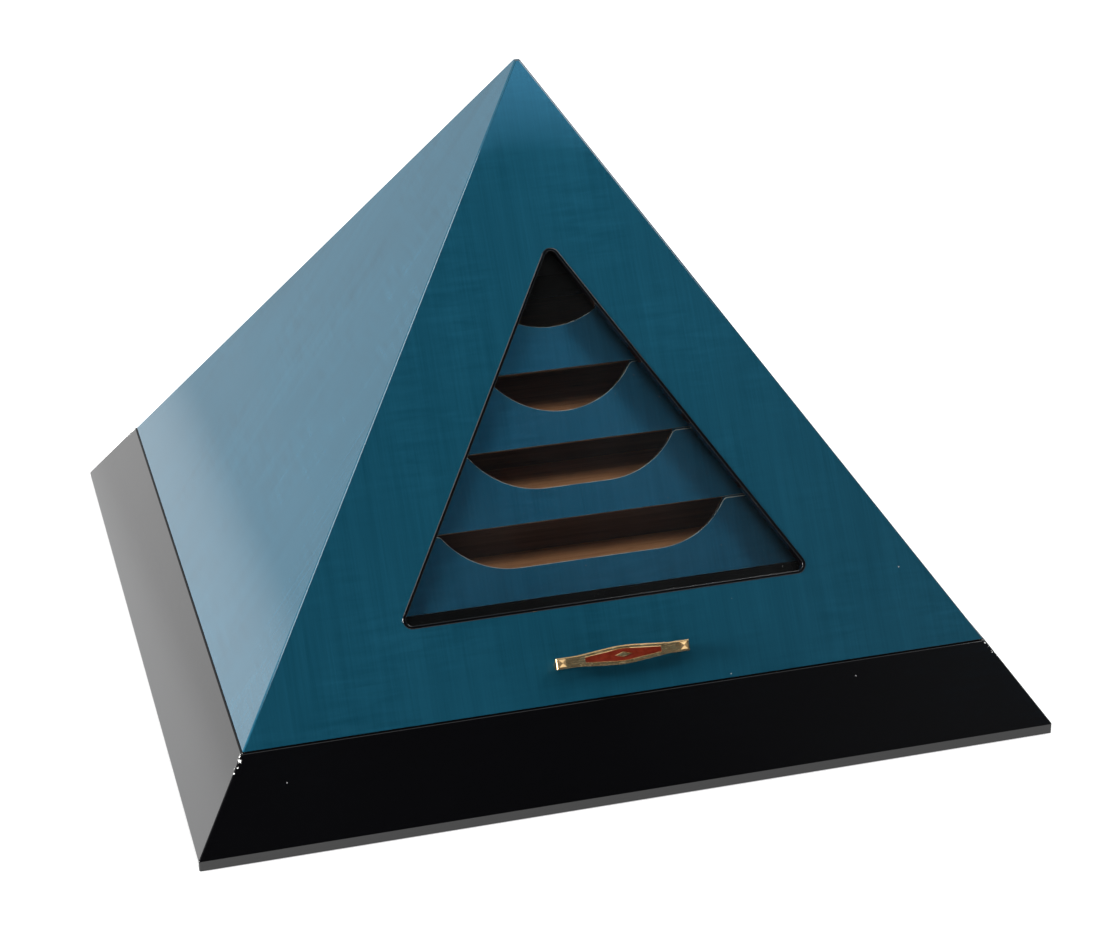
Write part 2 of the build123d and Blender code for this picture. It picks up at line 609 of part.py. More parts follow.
with BuildPart() as handle_posts:
    with BuildSketch(handle_seat):
        with Locations((-POST_SPACING / 2, 0), (POST_SPACING / 2, 0)):
            Circle(POST_RADIUS)
    extrude(amount=BAR_BACK)
    with BuildSketch(handle_seat):
        with Locations((-POST_SPACING / 2, 0), (POST_SPACING / 2, 0)):
            Circle(HANDLE_SCREW_RADIUS + SCREW_FIT)
    extrude(amount=HANDLE_SCREW_BITE + HANDLE_SCREW_SPARE, mode=Mode.SUBTRACT)
handle_posts.part.label = "handle_posts"
export_step(handle_posts.part, "parts/handle_posts.step")

with BuildPart() as handle_screws:
    screw_seat = handle_seat.offset(HANDLE_HEAD_SUNK - SHELL_THICK)
    with BuildSketch(screw_seat):
        with Locations((-POST_SPACING / 2, 0), (POST_SPACING / 2, 0)):
            Circle(HANDLE_SCREW_RADIUS)
    extrude(amount=SHELL_THICK - HANDLE_HEAD_SUNK + HANDLE_SCREW_BITE)
    with BuildSketch(screw_seat):
        with Locations((-POST_SPACING / 2, 0), (POST_SPACING / 2, 0)):
            Circle(HANDLE_HEAD_RADIUS)
    extrude(amount=-HANDLE_HEAD_THICK)
    with BuildSketch(screw_seat.offset(-HANDLE_HEAD_THICK)):
        with Locations((-POST_SPACING / 2, 0), (POST_SPACING / 2, 0)):
            Rectangle(CROSS_LENGTH, CROSS_WIDTH)
            Rectangle(CROSS_WIDTH, CROSS_LENGTH)
    extrude(amount=CROSS_DEPTH, mode=Mode.SUBTRACT)
handle_screws.part.label = "handle_screws"
export_step(handle_screws.part, "parts/handle_screws.step")

# ---------------------------------------------------------------- inner cabinet

with BuildPart() as cabinet_side_left:
    extrude(section(BASE_HALF, RAIL_TOP, CABINET_TOP_Z, CABINET_OUT), amount=RUN)
    split(bisect_by=side_plane(CABINET_IN, -1), keep=Keep.TOP)
    split(bisect_by=front_plane(FRONT_DEPTH), keep=Keep.BOTTOM)
    split(bisect_by=back_plane(CABINET_IN), keep=Keep.BOTTOM)
cabinet_side_left.part.label = "cabinet_side_left"
export_step(cabinet_side_left.part, "parts/cabinet_side_left.step")

with BuildPart() as cabinet_side_right:
    extrude(section(BASE_HALF, RAIL_TOP, CABINET_TOP_Z, CABINET_OUT), amount=RUN)
    split(bisect_by=side_plane(CABINET_IN, 1), keep=Keep.TOP)
    split(bisect_by=front_plane(FRONT_DEPTH), keep=Keep.BOTTOM)
    split(bisect_by=back_plane(CABINET_IN), keep=Keep.BOTTOM)
cabinet_side_right.part.label = "cabinet_side_right"
export_step(cabinet_side_right.part, "parts/cabinet_side_right.step")

with BuildPart() as cabinet_back:
    extrude(section(BASE_HALF, RAIL_TOP, CABINET_TOP_Z, CABINET_OUT), amount=RUN)
    split(bisect_by=back_plane(CABINET_IN), keep=Keep.TOP)
    split(bisect_by=back_plane(CABINET_OUT), keep=Keep.BOTTOM)
cabinet_back.part.label = "cabinet_back"
export_step(cabinet_back.part, "parts/cabinet_back.step")

with BuildPart() as front_rail:
    extrude(section(0, RAIL_TOP, DRAWER_Z, CABINET_IN), amount=RUN)
    split(bisect_by=front_plane(FRONT_DEPTH), keep=Keep.BOTTOM)
    split(bisect_by=front_plane(FRONT_DEPTH + RAIL_THICK), keep=Keep.TOP)
front_rail.part.label = "front_rail"
export_step(front_rail.part, "parts/front_rail.step")

with BuildPart() as cabinet_floor:
    extrude(section(BASE_HALF, DRAWER_Z - SHELF_THICK, DRAWER_Z, CABINET_IN), amount=RUN)
    split(bisect_by=front_plane(FRONT_DEPTH + RAIL_THICK), keep=Keep.BOTTOM)
    split(bisect_by=back_plane(CABINET_IN), keep=Keep.BOTTOM)
cabinet_floor.part.label = "cabinet_floor"
export_step(cabinet_floor.part, "parts/cabinet_floor.step")

shelf_names = ("cabinet_shelf_1", "cabinet_shelf_2", "cabinet_shelf_3", "cabinet_top")
for level, shelf_name in enumerate(shelf_names, start=1):
    shelf_z = DRAWER_Z + level * PITCH
    shelf_front = half_width(shelf_z, FRONT_DEPTH + FRONT_THICK) - SHELF_SETBACK
    with BuildPart() as shelf:
        shelf_section = section(BASE_HALF, shelf_z - SHELF_THICK, shelf_z, CABINET_IN)
        extrude(shelf_section, amount=BASE_HALF + shelf_front)
        split(bisect_by=back_plane(CABINET_IN), keep=Keep.BOTTOM)
    shelf.part.label = shelf_name
    export_step(shelf.part, f"parts/{shelf_name}.step")

# ---------------------------------------------------------------- drawers

for number in range(1, DRAWER_COUNT + 1):
    low_z = DRAWER_Z + (number - 1) * PITCH
    high_z = low_z + PITCH
    floor_z = low_z + FLOOR_GAP + DRAWER_FLOOR
    wall_z = high_z - SHELF_THICK - TOP_GAP
    back_y = half_width(wall_z, CABINET_IN) - BACK_GAP
    name = f"drawer_{number}"

    top_edge = Vector(0, -half_width(high_z, FRONT_DEPTH), high_z)
    top_rise = front_plane(FRONT_DEPTH).to_local_coords(top_edge).Y
    scoop_centre = top_rise - SCOOP_DEPTHS[number - 1] + SCOOP_RADIUS
    flat = SCOOP_FLATS[number - 1]
    with BuildPart() as drawer_front:
        extrude(section(0, low_z + FRONT_GAP, high_z - FRONT_GAP, DRAWER_OUT), amount=RUN)
        split(bisect_by=front_plane(FRONT_DEPTH), keep=Keep.BOTTOM)
        split(bisect_by=front_plane(FRONT_BACK), keep=Keep.TOP)
        with BuildSketch(front_plane(FRONT_DEPTH)):
            with Locations((-flat, scoop_centre), (flat, scoop_centre)):
                Circle(SCOOP_RADIUS)
            if flat:
                with Locations((0, scoop_centre - SCOOP_RADIUS / 2)):
                    Rectangle(2 * flat, SCOOP_RADIUS)
        extrude(amount=FRONT_THICK * 2, both=True, mode=Mode.SUBTRACT)
        land_z = high_z - FRONT_GAP
        scoop_ends = drawer_front.edges().filter_by(GeomType.ELLIPSE)
        fillet(scoop_ends.filter_by_position(Axis.Z, land_z - NEAR, land_z + NEAR), SCOOP_CORNER)
        chamfer(drawer_front.faces().sort_by(Axis((0, 0, 0), FACE_NORMAL))[-1].edges(), FRONT_BEVEL)
    drawer_front.part.label = f"{name}_front"
    export_step(drawer_front.part, f"parts/{name}_front.step")

    with BuildPart() as drawer_bottom:
        extrude(section(back_y, low_z + FLOOR_GAP, floor_z, DRAWER_OUT), amount=RUN)
        split(bisect_by=front_plane(FRONT_BACK), keep=Keep.BOTTOM)
    drawer_bottom.part.label = f"{name}_bottom"
    export_step(drawer_bottom.part, f"parts/{name}_bottom.step")

    for side, side_name in ((-1, "left_side"), (1, "right_side")):
        with BuildPart() as drawer_side:
            extrude(section(back_y, floor_z, wall_z, DRAWER_OUT), amount=RUN)
            split(bisect_by=side_plane(DRAWER_IN, side), keep=Keep.TOP)
            split(bisect_by=front_plane(FRONT_BACK), keep=Keep.BOTTOM)
        drawer_side.part.label = f"{name}_{side_name}"
        export_step(drawer_side.part, f"parts/{name}_{side_name}.step")

    with BuildPart() as drawer_back:
        extrude(section(back_y, floor_z, wall_z, DRAWER_IN), amount=DRAWER_WALL)
    drawer_back.part.label = f"{name}_back"
    export_step(drawer_back.part, f"parts/{name}_back.step")

for number, divider_front in enumerate(DIVIDER_FRONTS, start=1):
    divider_z = DRAWER_Z + (number - 1) * PITCH + FLOOR_GAP + DRAWER_FLOOR
    with BuildPart() as divider:
        divider_section = section(
            divider_front + DIVIDER_THICK, divider_z, divider_z + DIVIDER_HEIGHT, DRAWER_IN
        )
        extrude(divider_section, amount=DIVIDER_THICK)
    divider.part.label = f"drawer_{number}_divider"
    export_step(divider.part, f"parts/drawer_{number}_divider.step")

# ---------------------------------------------------------------- humidifier

with BuildPart() as humidifier_case:
    with BuildSketch(Plane.XY.offset(CABINET_TOP_Z)):
        with Locations((0, HUMIDIFIER_Y)):
            RectangleRounded(HUMIDIFIER_SIZE, HUMIDIFIER_SIZE, HUMIDIFIER_CORNER)
    extrude(amount=HUMIDIFIER_HEIGHT - GRILLE_THICK)
    with BuildSketch(Plane.XY.offset(CABINET_TOP_Z + HUMIDIFIER_WALL)):
        with Locations((0, HUMIDIFIER_Y)):
            well_size = HUMIDIFIER_SIZE - 2 * HUMIDIFIER_WALL
            RectangleRounded(well_size, well_size, HUMIDIFIER_INNER_CORNER)
    extrude(amount=HUMIDIFIER_HEIGHT, mode=Mode.SUBTRACT)
humidifier_case.part.label = "humidifier_case"
export_step(humidifier_case.part, "parts/humidifier_case.step")

with BuildPart() as humidifier_foam:
    foam_size = well_size - 2 * FOAM_GAP
    with BuildSketch(Plane.XY.offset(CABINET_TOP_Z + HUMIDIFIER_WALL)):
        with Locations((0, HUMIDIFIER_Y)):
            RectangleRounded(foam_size, foam_size, HUMIDIFIER_INNER_CORNER)
    extrude(amount=FOAM_HEIGHT)
humidifier_foam.part.label = "humidifier_foam"
export_step(humidifier_foam.part, "parts/humidifier_foam.step")

with BuildPart() as humidifier_grille:
    with BuildSketch(Plane.XY.offset(CABINET_TOP_Z + HUMIDIFIER_HEIGHT - GRILLE_THICK)):
        with Locations((0, HUMIDIFIER_Y)):
            RectangleRounded(HUMIDIFIER_SIZE, HUMIDIFIER_SIZE, HUMIDIFIER_CORNER)
            with GridLocations(1, GRILLE_PITCH, 1, GRILLE_SLOTS):
                SlotOverall(GRILLE_SLOT_LENGTH, GRILLE_SLOT_WIDTH, mode=Mode.SUBTRACT)
    extrude(amount=GRILLE_THICK)
humidifier_grille.part.label = "humidifier_grille"
export_step(humidifier_grille.part, "parts/humidifier_grille.step")
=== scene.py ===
"""Looks for the pyramid cigar cabinet: camera, studio and materials around the CAD frame."""
import json
import math

import bpy
from mathutils import Matrix, Vector

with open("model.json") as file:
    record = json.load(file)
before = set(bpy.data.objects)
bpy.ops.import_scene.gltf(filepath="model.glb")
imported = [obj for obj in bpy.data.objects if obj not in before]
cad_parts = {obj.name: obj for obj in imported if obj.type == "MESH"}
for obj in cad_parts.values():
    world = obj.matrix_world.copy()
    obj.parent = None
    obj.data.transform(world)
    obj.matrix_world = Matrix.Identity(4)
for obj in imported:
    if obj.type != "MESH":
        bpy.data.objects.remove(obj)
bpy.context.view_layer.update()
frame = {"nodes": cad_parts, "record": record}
nodes = frame["nodes"]

# ---------------------------------------------------------------- the pyramid

# Every outer face leans back by the same angle and passes through one apex, a little above the tip.
LEAN = math.atan(math.sqrt(0.5))
NORMAL_OUT = math.sqrt(2 / 3)
NORMAL_UP = math.sqrt(1 / 3)
APEX_Z = 0.3237
FACE_REACH = APEX_Z * NORMAL_UP     # from the origin to the plane of an outer face
VENEER = 0.0008
VENEER_TOP = APEX_Z - 0.006         # above this the lacquer goes right over the tip
EDGE_WIDTH = 0.0003                 # the bevel round a drawer front, painted a pale highlight
EDGE_FACING = 0.9                   # a bevel's cosine to the outer face is below this
SEAM_Z = 0.046                      # top of the black base
CHIPPED_FROM_Z = 0.0385             # its corner arrises are chipped from here to the seam
CHIPPED_WIDTH = 0.0015
DRAWER_FRONT_DEPTH = 0.0235
DRAWER_FRONT_THICK = 0.006


# ---------------------------------------------------------------- camera

CAMERA_PLACE = Vector((-0.3425, -1.3395, 0.7579))
CAMERA_AZIMUTH = math.radians(-14.933)
CAMERA_DROP = math.radians(25.988)
CAMERA_ROLL = math.radians(-0.878)
CAMERA_LENS = 89.21


def add_camera():
    """Long lens, high and to the left of the front."""
    ahead = Vector((
        -math.sin(CAMERA_AZIMUTH) * math.cos(CAMERA_DROP),
        math.cos(CAMERA_AZIMUTH) * math.cos(CAMERA_DROP),
        -math.sin(CAMERA_DROP),
    ))
    level = Vector((math.cos(CAMERA_AZIMUTH), math.sin(CAMERA_AZIMUTH), 0))
    upright = level.cross(ahead)
    right = math.cos(CAMERA_ROLL) * level + math.sin(CAMERA_ROLL) * upright
    up = -math.sin(CAMERA_ROLL) * level + math.cos(CAMERA_ROLL) * upright
    data = bpy.data.cameras.new("camera")
    data.lens = CAMERA_LENS
    data.sensor_width = 36
    camera = bpy.data.objects.new("camera", data)
    turn = Matrix((right, up, -ahead)).transposed().to_4x4()
    camera.matrix_world = Matrix.Translation(CAMERA_PLACE) @ turn
    bpy.context.scene.collection.objects.link(camera)
    bpy.context.scene.camera = camera


add_camera()


# ---------------------------------------------------------------- node trees

class Nodes:
    """Short ways to add nodes to a tree and link them."""

    def __init__(self, tree):
        self.tree = tree

    def feed(self, socket, value):
        if isinstance(value, bpy.types.NodeSocket):
            self.tree.links.new(value, socket)
        else:
            socket.default_value = value

    def add(self, kind, inputs=None, **settings):
        """A node with its settings, and a value or link for each named or numbered input."""
        made = self.tree.nodes.new(kind)
        for key, value in settings.items():
            setattr(made, key, value)
        for key, value in (inputs or {}).items():
            self.feed(made.inputs[key], value)
        return made

    def math(self, operation, first, second=0.0):
        return self.add("ShaderNodeMath", {0: first, 1: second}, operation=operation).outputs[0]

    def vector(self, operation, first, second=(0, 0, 0)):
        made = self.add("ShaderNodeVectorMath", {0: first, 1: second}, operation=operation)
        return made.outputs["Value"] if operation in ("DOT_PRODUCT", "LENGTH") else made.outputs[0]

    def span(self, value, low, high, to_low=0.0, to_high=1.0, smooth=True):
        """Maps low..high to to_low..to_high, clamped."""
        limits = {"From Min": low, "From Max": high, "To Min": to_low, "To Max": to_high}
        made = self.add(
            "ShaderNodeMapRange",
            {"Value": value, **limits},
            interpolation_type="SMOOTHSTEP" if smooth else "LINEAR",
        )
        return made.outputs[0]

    def mix(self, factor, first, second, blend="MIX"):
        made = self.add(
            "ShaderNodeMix", {0: factor, 6: first, 7: second}, data_type="RGBA", blend_type=blend
        )
        return made.outputs[2]

    def lerp(self, factor, first, second):
        made = self.add("ShaderNodeMix", {0: factor, 2: first, 3: second}, data_type="FLOAT")
        return made.outputs[0]

    def ramp(self, factor, stops):
        made = self.add("ShaderNodeValToRGB", {"Fac": factor})
        elements = made.color_ramp.elements
        while len(elements) < len(stops):
            elements.new(0.5)
        for element, (place, colour) in zip(elements, stops):
            element.position = place
            element.color = (*colour, 1)
        return made.outputs["Color"]


class Material(Nodes):
    """A Principled material in the making, in metres of object space."""

    def __init__(self, name):
        self.material = bpy.data.materials.new(name)
        self.material.use_nodes = True
        super().__init__(self.material.node_tree)
        self.bsdf = self.tree.nodes["Principled BSDF"]
        self.output = self.tree.nodes["Material Output"]

    def set(self, **inputs):
        for key, value in inputs.items():
            self.feed(self.bsdf.inputs[key.replace("_", " ")], value)

    def place(self, turn=(0, 0, 0)):
        """Object coordinates, turned."""
        here = self.add("ShaderNodeTexCoord").outputs["Object"]
        turned = self.add("ShaderNodeMapping", {"Vector": here, "Rotation": turn})
        return turned.outputs["Vector"]

    def noise(self, place, scale, detail=3.0, roughness=0.5, distortion=0.0):
        """Noise with scale features to the metre along each axis, from 0 to 1 about 0.5."""
        if not isinstance(scale, tuple):
            scale = (scale, scale, scale)
        stretched = self.add("ShaderNodeMapping", {"Vector": place, "Scale": scale})
        made = self.add("ShaderNodeTexNoise", {
            "Vector": stretched.outputs["Vector"], "Scale": 1.0, "Detail": detail,
            "Roughness": roughness, "Distortion": distortion,
        })
        return made.outputs["Fac"]

    def specks(self, place, per_metre, size, share):
        """1 in small round specks, of this radius over the cell, in this share of the cells."""
        cells = self.add("ShaderNodeTexVoronoi", {"Vector": place, "Scale": per_metre})
        near = self.math("LESS_THAN", cells.outputs["Distance"], size)
        split = self.add("ShaderNodeSeparateColor", {"Color": cells.outputs["Color"]})
        chosen = self.math("LESS_THAN", split.outputs[0], share)
        return self.math("MULTIPLY", near, chosen)

    def sum(self, middle, parts):
        """middle plus each part's swing about 0.5, times its weight."""
        total = middle
        for part, weight in parts:
            swing = self.math("MULTIPLY", self.math("SUBTRACT", part, 0.5), weight)
            total = self.math("ADD", total, swing)
        return total

    def bump(self, height, distance, strength=1.0, socket="Normal"):
        made = self.add(
            "ShaderNodeBump", {"Height": height, "Strength": strength, "Distance": distance}
        )
        self.feed(self.bsdf.inputs[socket], made.outputs["Normal"])


def dress(name, material):
    """Gives a CAD node its material."""
    slots = nodes[name].data.materials
    slots.clear()
    slots.append(material)


# ---------------------------------------------------------------- lacquered veneer

SHELL_STAIN = ((0.0022, 0.03, 0.05), (0.006, 0.052, 0.084))
# The drawer fronts' teal, much lighter than the shell's, paints in light the window keeps off them.
DRAWER_TEAL_BRIGHTENED = ((0.011, 0.108, 0.2), (0.027, 0.18, 0.32))
CEDAR = ((0.3, 0.12, 0.05), (0.62, 0.3, 0.14))
# Cedar darkened to paint the shade inside the drawers; the dividers take it.
SHADE_DARKENED_CEDAR = ((0.07, 0.036, 0.024), (0.2, 0.105, 0.066))
# Pale colour painted on the drawer fronts' bevels as a highlight
EDGE_HIGHLIGHT_PAINT = (0.85, 0.88, 0.82, 1)
CHIP = (0.7, 0.7, 0.68, 1)
DUST = (0.35, 0.36, 0.36, 1)


def figure(m, place):
    """Tone of rippled sycamore, grain up the slope: fibre, short cross ripples and clouds."""
    fibre = m.noise(place, (1100, 1100, 26), 4, 0.6)
    streak = m.noise(place, (160, 160, 7), 3, 0.5)
    ripple = m.noise(place, (42, 42, 300), 2, 0.5, 0.5)
    patch = m.noise(place, (26, 26, 18), 2, 0.5)
    ripple_here = m.math("MULTIPLY", m.math("SUBTRACT", ripple, 0.5), m.span(patch, 0.35, 0.65))
    ripple_tone = m.math("ADD", ripple_here, 0.5)
    cloud = m.noise(place, (11, 11, 8), 2, 0.5)
    return m.sum(0.5, [(fibre, 0.5), (streak, 0.4), (ripple_tone, 0.6), (cloud, 0.35)])


def cedar_tone(m, place):
    """Tone of cedar with its grain along Z of the place."""
    fibre = m.noise(place, (520, 520, 14), 4, 0.65)
    rings = m.noise(place, (70, 70, 2.2), 3, 0.5, 0.6)
    broad = m.noise(place, (12, 12, 3), 2, 0.5)
    return m.sum(0.5, [(fibre, 0.8), (rings, 0.8), (broad, 0.5)])


def veneered(name, out, turn, teal_tones, reach, thick=None):
    """Stained veneer under thick gloss on the outer face, bare cedar behind it.

    out is the outer face's normal, reach its plane's distance from the origin, and turn lays Z up
    its slope. With thick, only what lies that far behind the face is bare, and the bevels round
    the face are painted a pale highlight.
    """
    m = Material(name)
    place = m.place(turn)
    here = m.add("ShaderNodeTexCoord").outputs["Object"]
    depth = m.math("SUBTRACT", reach, m.vector("DOT_PRODUCT", here, out))
    height = m.add("ShaderNodeSeparateXYZ", {"Vector": here}).outputs["Z"]
    below_tip = m.math("LESS_THAN", height, VENEER_TOP)
    bare = m.math("MULTIPLY", m.math("GREATER_THAN", depth, thick or VENEER), below_tip)
    deep, light = teal_tones
    veneer_colour = m.ramp(figure(m, place), [(0.2, deep), (0.8, light)])
    if thick:
        # Painted highlight: the bevels round a drawer front are painted pale, broken up by noise.
        facing = m.vector("DOT_PRODUCT", m.add("ShaderNodeTexCoord").outputs["Normal"], out)
        turned_away = m.math("LESS_THAN", facing, EDGE_FACING)
        highlit_bevel = m.math("MULTIPLY", turned_away, m.math("LESS_THAN", depth, EDGE_WIDTH))
        highlight_breakup = m.span(m.noise(place, 90, 2, 0.5), 0.35, 0.6, 0.5, 1.0)
        veneer_colour = m.mix(m.math("MULTIPLY", highlit_bevel, highlight_breakup), veneer_colour, EDGE_HIGHLIGHT_PAINT)
    dust = m.specks(place, 140, 0.045, 0.02)
    veneer_colour = m.mix(dust, veneer_colour, DUST)
    along = m.place((turn[0], turn[1] + math.pi / 2, 0) if turn[0] else (math.pi / 2, 0, 0))
    wood = m.ramp(cedar_tone(m, along), [(0.2, CEDAR[0]), (0.8, CEDAR[1])])
    m.set(Base_Color=m.mix(bare, veneer_colour, wood), Specular_IOR_Level=0.0)
    m.set(Roughness=m.lerp(bare, 0.4, 0.7), Metallic=m.lerp(bare, 0.25, 0.0))
    m.set(Coat_Weight=m.lerp(bare, 1.0, 0.0), Coat_Roughness=0.03, Coat_IOR=1.5)
    peel = m.noise(place, 170, 2, 0.5)
    m.bump(peel, 0.00001, 0.3, "Coat Normal")
    return m.material


def dress_veneer():
    """Shell panels and drawer fronts."""
    sides = {
        "front": ((0, -NORMAL_OUT, NORMAL_UP), (LEAN, 0, 0)),
        "back": ((0, NORMAL_OUT, NORMAL_UP), (-LEAN, 0, 0)),
        "left": ((-NORMAL_OUT, 0, NORMAL_UP), (0, -LEAN, 0)),
        "right": ((NORMAL_OUT, 0, NORMAL_UP), (0, LEAN, 0)),
    }
    for side, (out, turn) in sides.items():
        dress(f"shell_{side}_panel", veneered(f"teal_{side}", out, turn, SHELL_STAIN, FACE_REACH))
    out, turn = sides["front"]
    reach = FACE_REACH - DRAWER_FRONT_DEPTH
    thick = DRAWER_FRONT_THICK - VENEER
    # The drawer fronts take the lighter teal: painted light behind the window.
    drawer_veneer = veneered("teal_drawers", out, turn, DRAWER_TEAL_BRIGHTENED, reach, thick)
    for number in range(1, 5):
        dress(f"drawer_{number}_front", drawer_veneer)


# ---------------------------------------------------------------- other materials

def black_lacquer(name, roughness, dusty=0.03):
    """Polished black with a faint orange-peel, dust and hairline rubs."""
    m = Material(name)
    place = m.place()
    rubs = m.noise(place, (30, 900, 500), 3, 0.6, 0.4)
    smudge = m.noise(place, 14, 3, 0.6)
    wear = m.sum(0.5, [(rubs, 0.6), (smudge, 0.9)])
    m.set(Roughness=m.span(wear, 0.3, 0.9, roughness, roughness + 0.09))
    dust = m.specks(place, 130, 0.05, dusty)
    lacquer = m.mix(dust, (0.0012, 0.0012, 0.0015, 1), (0.2, 0.2, 0.2, 1))
    across, along, height = m.add("ShaderNodeSeparateXYZ", {"Vector": place}).outputs
    off_arris = m.math("SUBTRACT", m.math("ABSOLUTE", across), m.math("ABSOLUTE", along))
    near_arris = m.math("LESS_THAN", m.math("ABSOLUTE", off_arris), CHIPPED_WIDTH)
    under_seam = m.math("LESS_THAN", height, SEAM_Z)
    near_seam = m.math("MULTIPLY", m.math("GREATER_THAN", height, CHIPPED_FROM_Z), under_seam)
    flaked = m.math("GREATER_THAN", m.noise(place, 700, 2, 0.6), 0.6)
    chips = m.math("MULTIPLY", m.math("MULTIPLY", near_arris, near_seam), flaked)
    m.set(Base_Color=m.mix(chips, lacquer, CHIP))
    m.bump(m.noise(place, 170, 2, 0.5), 0.00001, 0.5)
    return m.material


def cedar(name, turn, colours=CEDAR):
    """Bare Spanish cedar with open pores; turn lays Z along the grain."""
    m = Material(name)
    place = m.place(turn)
    tone = cedar_tone(m, place)
    pores = m.noise(place, (1500, 1500, 60), 2, 0.5)
    open_pore = m.span(pores, 0.66, 0.72)
    wood = m.ramp(tone, [(0.2, colours[0]), (0.8, colours[1])])
    m.set(Base_Color=m.mix(m.math("MULTIPLY", open_pore, 0.6), wood, (0.06, 0.018, 0.008, 1)))
    m.set(Roughness=m.span(tone, 0.2, 0.8, 0.72, 0.58), Specular_IOR_Level=0.3)
    m.bump(m.sum(0.5, [(tone, 0.6), (open_pore, -0.8)]), 0.00012, 0.6)
    return m.material


def plywood(name):
    """Pale plies, seen at the edges of the bottom board."""
    m = Material(name)
    place = m.place()
    height = m.add("ShaderNodeSeparateXYZ", {"Vector": place}).outputs["Z"]
    ply = m.math("PINGPONG", height, 0.0015)
    fibre = m.noise(place, (18, 420, 420), 4, 0.6)
    tone = m.sum(0.5, [(fibre, 0.8), (m.span(ply, 0.0005, 0.001), 0.5)])
    m.set(Base_Color=m.ramp(tone, [(0.15, (0.26, 0.15, 0.07)), (0.85, (0.6, 0.42, 0.24))]))
    m.set(Roughness=0.75)
    m.bump(fibre, 0.0001, 0.5)
    return m.material


def metal(name, dull, bright, roughness, brushed):
    """Warm metal with fine polishing lines and slightly tarnished patches."""
    m = Material(name)
    place = m.place()
    lines = m.noise(place, (brushed, 4200, 4200), 3, 0.6)
    patina = m.noise(place, 160, 4, 0.6)
    m.set(Base_Color=m.ramp(patina, [(0.3, dull), (0.7, bright)]), Metallic=1.0)
    wear = m.sum(0.5, [(lines, 0.6), (patina, 0.3)])
    m.set(Roughness=m.span(wear, 0.3, 0.8, roughness, roughness + 0.12))
    m.bump(lines, 0.00001, 0.4)
    return m.material


def enamel(name):
    """Translucent oxblood enamel, a little mottled, fired glossy."""
    m = Material(name)
    cloud = m.noise(m.place(), 260, 3, 0.6)
    m.set(Base_Color=m.ramp(cloud, [(0.3, (0.06, 0.005, 0.0015)), (0.7, (0.11, 0.011, 0.003))]))
    m.set(Roughness=m.span(cloud, 0.3, 0.7, 0.16, 0.24))
    m.bump(cloud, 0.00002, 0.3)
    return m.material


def felt(name):
    """Black wool felt, clumped and fuzzy."""
    m = Material(name)
    place = m.place()
    fibre = m.noise(place, 2600, 4, 0.7, 0.8)
    clump = m.noise(place, 240, 3, 0.6)
    tone = m.sum(0.5, [(fibre, 0.8), (clump, 0.5)])
    m.set(Base_Color=m.ramp(tone, [(0.2, (0.004, 0.004, 0.005)), (0.8, (0.03, 0.03, 0.033))]))
    m.set(Roughness=0.97, Sheen_Weight=0.4)
    m.bump(fibre, 0.0004, 0.8)
    return m.material


def rubber(name):
    """Black rubber with a little bloom on it."""
    m = Material(name)
    place = m.place()
    bloom = m.noise(place, 120, 3, 0.6)
    m.set(Base_Color=m.ramp(bloom, [(0.3, (0.008, 0.008, 0.008)), (0.7, (0.02, 0.02, 0.02))]))
    m.set(Roughness=m.span(bloom, 0.3, 0.7, 0.5, 0.7))
    m.bump(m.noise(place, 1800, 2, 0.5), 0.00004, 0.5)
    return m.material


def moulded_plastic(name):
    """Black plastic with a fine moulded grain."""
    m = Material(name)
    grain = m.noise(m.place(), 2400, 2, 0.5)
    m.set(Base_Color=m.ramp(grain, [(0.3, (0.008, 0.008, 0.009)), (0.7, (0.016, 0.016, 0.017))]))
    m.set(Roughness=m.span(grain, 0.3, 0.7, 0.38, 0.5))
    m.bump(grain, 0.00005, 0.6)
    return m.material


def foam(name):
    """Wet-look green floral foam behind the humidifier's slots."""
    m = Material(name)
    cells = m.add("ShaderNodeTexVoronoi", {"Vector": m.place(), "Scale": 900.0}).outputs["Distance"]
    m.set(Base_Color=m.ramp(cells, [(0.1, (0.02, 0.035, 0.012)), (0.6, (0.09, 0.13, 0.05))]))
    m.set(Roughness=0.9)
    m.bump(cells, 0.0006, 0.8)
    return m.material


def window_glass(name):
    """Clear pane that mirrors a little of the room and has a few specks of dust on it."""
    m = Material(name)
    clear = m.add("ShaderNodeBsdfTransparent", {"Color": (0.96, 0.975, 0.97, 1)})
    mirror = m.add("ShaderNodeBsdfGlossy", {"Roughness": 0.0})
    pane = m.add("ShaderNodeMixShader", {
        0: m.add("ShaderNodeFresnel", {"IOR": 1.45}).outputs[0],
        1: clear.outputs[0],
        2: mirror.outputs[0],
    })
    dust = m.add("ShaderNodeBsdfDiffuse", {"Color": DUST})
    film = m.span(m.noise(m.place(), 20, 3, 0.6), 0.3, 0.7, 0.003, 0.007)
    specks = m.math("MULTIPLY", m.specks(m.place(), 260, 0.06, 0.03), 0.5)
    dusty = m.add("ShaderNodeMixShader", {
        0: m.math("MAXIMUM", specks, film),
        1: pane.outputs[0],
        2: dust.outputs[0],
    })
    m.feed(m.output.inputs["Surface"], dusty.outputs[0])
    m.tree.nodes.remove(m.bsdf)
    return m.material


